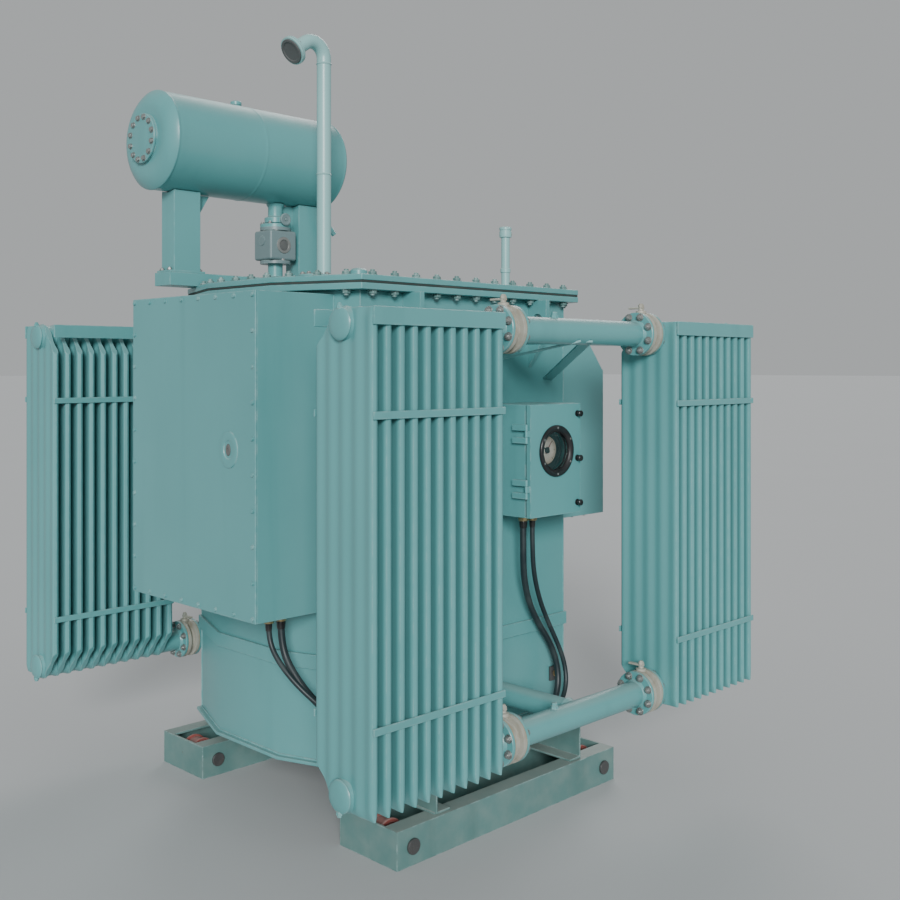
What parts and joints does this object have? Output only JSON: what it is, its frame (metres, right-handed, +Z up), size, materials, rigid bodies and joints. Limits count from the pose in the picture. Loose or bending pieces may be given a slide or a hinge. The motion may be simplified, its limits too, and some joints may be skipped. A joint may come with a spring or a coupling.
{
  "type": "oil-filled power transformer",
  "caption": "Oil-filled power transformer with finned radiators, cable boxes, conservator and a base on rollers.",
  "frame": {"origin": "on the floor at the centre of the base", "axes": "+Z up, +X along the tank towards the high-voltage cable box, -Y the front with the marshalling box"},
  "size_m": [2.01, 2.14, 2.8469],
  "materials": {
    "sea_green_paint": "semi-gloss enamel",
    "base_paint": "semi-gloss enamel, dusty",
    "oxide_red_paint": "matt primer",
    "zinc_steel": "dull",
    "valve_grey": "satin aluminium paint",
    "relay_grey": "satin",
    "cork_gasket": "matt",
    "black_plastic": "gloss",
    "gland_steel": "dull",
    "window_glass": "clear",
    "gauge_black": "matt",
    "cable_black": "matt",
    "diaphragm_dark": "matt"
  },
  "bodies": {
    "transformer": {"air_release_hood": "sea_green_paint", "buchholz_pipe": "sea_green_paint", "buchholz_relay": "relay_grey", "cable_glands": "gland_steel", "conservator_end_cover": "sea_green_paint", "conservator_ends": "sea_green_paint", "conservator_legs": "sea_green_paint", "conservator_rail": "sea_green_paint", "conservator_shell": "sea_green_paint", "control_cable_large": "cable_black", "control_cable_small": "cable_black", "cover_gasket": "cork_gasket", "cross_channels": "base_paint", "door_hinges": "sea_green_paint", "drain_valve": "valve_grey", "filler_cap": "sea_green_paint", "front_base_channels": "base_paint", "front_left_headers": "sea_green_paint", "front_left_radiator_fins": "sea_green_paint", "front_manifolds": "sea_green_paint", "front_right_headers": "sea_green_paint", "front_right_radiator_fins": "sea_green_paint", "front_valves": "valve_grey", "hv_box_cover": "sea_green_paint", "hv_cable_box": "sea_green_paint", "hv_gland_plate": "sea_green_paint", "lifting_lugs": "sea_green_paint", "lv_box_cover": "sea_green_paint", "lv_cable_box": "sea_green_paint", "lv_gland_plate": "sea_green_paint", "manifold_struts": "sea_green_paint", "marshalling_box": "sea_green_paint", "radiator_braces": "sea_green_paint", "rear_base_channels": "base_paint", "rear_left_headers": "sea_green_paint", "rear_left_radiator_fins": "sea_green_paint", "rear_manifolds": "sea_green_paint", "rear_right_headers": "sea_green_paint", "rear_right_radiator_fins": "sea_green_paint", "rear_valves": "valve_grey", "roller_axles": "zinc_steel", "tank_bands": "sea_green_paint", "tank_bottom": "sea_green_paint", "tank_cover": "sea_green_paint", "tank_rim": "sea_green_paint", "tank_wall": "sea_green_paint", "temperature_gauge": "gauge_black", "thermometer_pocket": "sea_green_paint", "vent_diaphragm": "diaphragm_dark", "vent_pipe": "sea_green_paint"},
    "door": {"marshalling_door": "sea_green_paint", "door_window_ring": "black_plastic", "door_window_glass": "window_glass", "door_knobs": "black_plastic"},
    "front_left_roller": {"front_left_roller": "oxide_red_paint"},
    "front_right_roller": {"front_right_roller": "oxide_red_paint"},
    "rear_left_roller": {"rear_left_roller": "oxide_red_paint"},
    "rear_right_roller": {"rear_right_roller": "oxide_red_paint"}
  },
  "joints": [
    {"name": "door_hinge", "type": "hinge", "parent": "transformer", "child": "door", "pos_m": [0.068, -0.69, 1.261], "axis": [0, 0, -1], "range_deg": [0, 110]},
    {"name": "front_left_roller_spin", "type": "hinge", "parent": "transformer", "child": "front_left_roller", "pos_m": [-0.5, -0.561, 0.063], "axis": [0, 1, 0], "continuous": true},
    {"name": "front_right_roller_spin", "type": "hinge", "parent": "transformer", "child": "front_right_roller", "pos_m": [0.5, -0.561, 0.063], "axis": [0, 1, 0], "continuous": true},
    {"name": "rear_left_roller_spin", "type": "hinge", "parent": "transformer", "child": "rear_left_roller", "pos_m": [-0.5, 0.561, 0.063], "axis": [0, 1, 0], "continuous": true},
    {"name": "rear_right_roller_spin", "type": "hinge", "parent": "transformer", "child": "rear_right_roller", "pos_m": [0.5, 0.561, 0.063], "axis": [0, 1, 0], "continuous": true}
  ]
}
